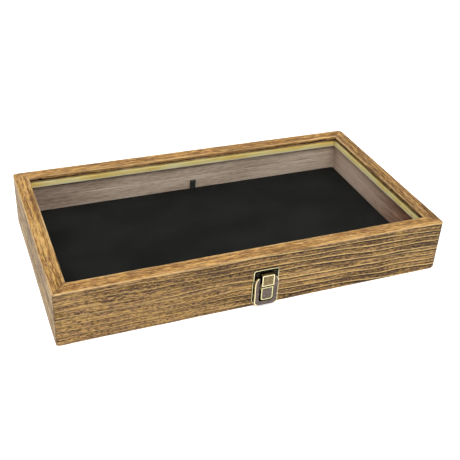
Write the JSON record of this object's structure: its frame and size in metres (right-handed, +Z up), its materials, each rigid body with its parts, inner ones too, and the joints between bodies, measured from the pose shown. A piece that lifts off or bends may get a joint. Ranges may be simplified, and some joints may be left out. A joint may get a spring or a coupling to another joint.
{
  "type": "tabletop display case",
  "caption": "Shallow stained wooden display case with a hinged glass lid, a black velvet pad on its floor and an antique brass draw latch at the front.",
  "frame": {"origin": "middle of the case's flat bottom face", "axes": "+X to the right along the case's length seen from the latch side, +Y from the latch to the hinges, +Z up"},
  "size_m": [0.375, 0.2189, 0.054],
  "materials": {
    "stained_wood": "stained and burnished, ridged grain, satin",
    "case_lining_wood": "grey-brown stained inner wall, matte",
    "raw_wood": "raw pale wood, unfinished",
    "panel_wood": "thin board, matte",
    "glass": "clear, polished",
    "velvet": "black velvet, matte",
    "ribbon": "black grosgrain ribbon",
    "foam": "soft white foam sheet",
    "antique_brass": "darkened brass with bright worn edges",
    "steel_brads": "bright drawn wire"
  },
  "bodies": {
    "case": {"case_front_wall": "stained_wood", "case_back_wall": "stained_wood", "case_left_wall": "stained_wood", "case_right_wall": "stained_wood", "case_bottom_panel": "panel_wood", "bottom_panel_brads": "steel_brads", "latch_base": "antique_brass", "latch_base_screws": "antique_brass", "latch_pivot_pin": "antique_brass", "hinge_left_case_leaf": "antique_brass", "hinge_right_case_leaf": "antique_brass", "hinge_left_pin": "antique_brass", "hinge_right_pin": "antique_brass", "hinge_case_screws": "antique_brass"},
    "lid": {"lid_front_rail": "stained_wood", "lid_back_rail": "stained_wood", "lid_left_rail": "stained_wood", "lid_right_rail": "stained_wood", "lid_glass": "glass", "glass_bead_front": "raw_wood", "glass_bead_back": "raw_wood", "glass_bead_left": "raw_wood", "glass_bead_right": "raw_wood", "bead_brads": "steel_brads", "strike_plate": "antique_brass", "strike_screws": "antique_brass", "hinge_left_lid_leaf": "antique_brass", "hinge_right_lid_leaf": "antique_brass", "hinge_lid_screws": "antique_brass"},
    "pad": {"pad_board": "panel_wood", "pad_foam": "foam", "pad_cover": "velvet", "pad_pull_tab": "ribbon"},
    "latch_lever": {"latch_lever": "antique_brass", "latch_link_pin": "antique_brass"},
    "latch_link": {"latch_link": "antique_brass"}
  },
  "joints": [
    {"name": "lid_hinge", "type": "hinge", "parent": "case", "child": "lid", "pos_m": [0, 0.1069, 0.027], "axis": [-1, 0, 0], "range_deg": [0, 180]},
    {"name": "pad_lift", "type": "slide", "parent": "case", "child": "pad", "axis": [0, 0, 1], "range_m": [0, 0.016]},
    {"name": "lever_hinge", "type": "hinge", "parent": "case", "child": "latch_lever", "pos_m": [0.0022, -0.1077, 0.0228], "axis": [-1, 0, 0], "range_deg": [0, 90]},
    {"name": "link_hinge", "type": "hinge", "parent": "latch_lever", "child": "latch_link", "pos_m": [0.0022, -0.1071, 0.0194], "axis": [-1, 0, 0], "range_deg": [-104, 0]}
  ],
  "couplings": [
    {"joint": "link_hinge", "follows": "lever_hinge", "ratio": -1.15}
  ]
}
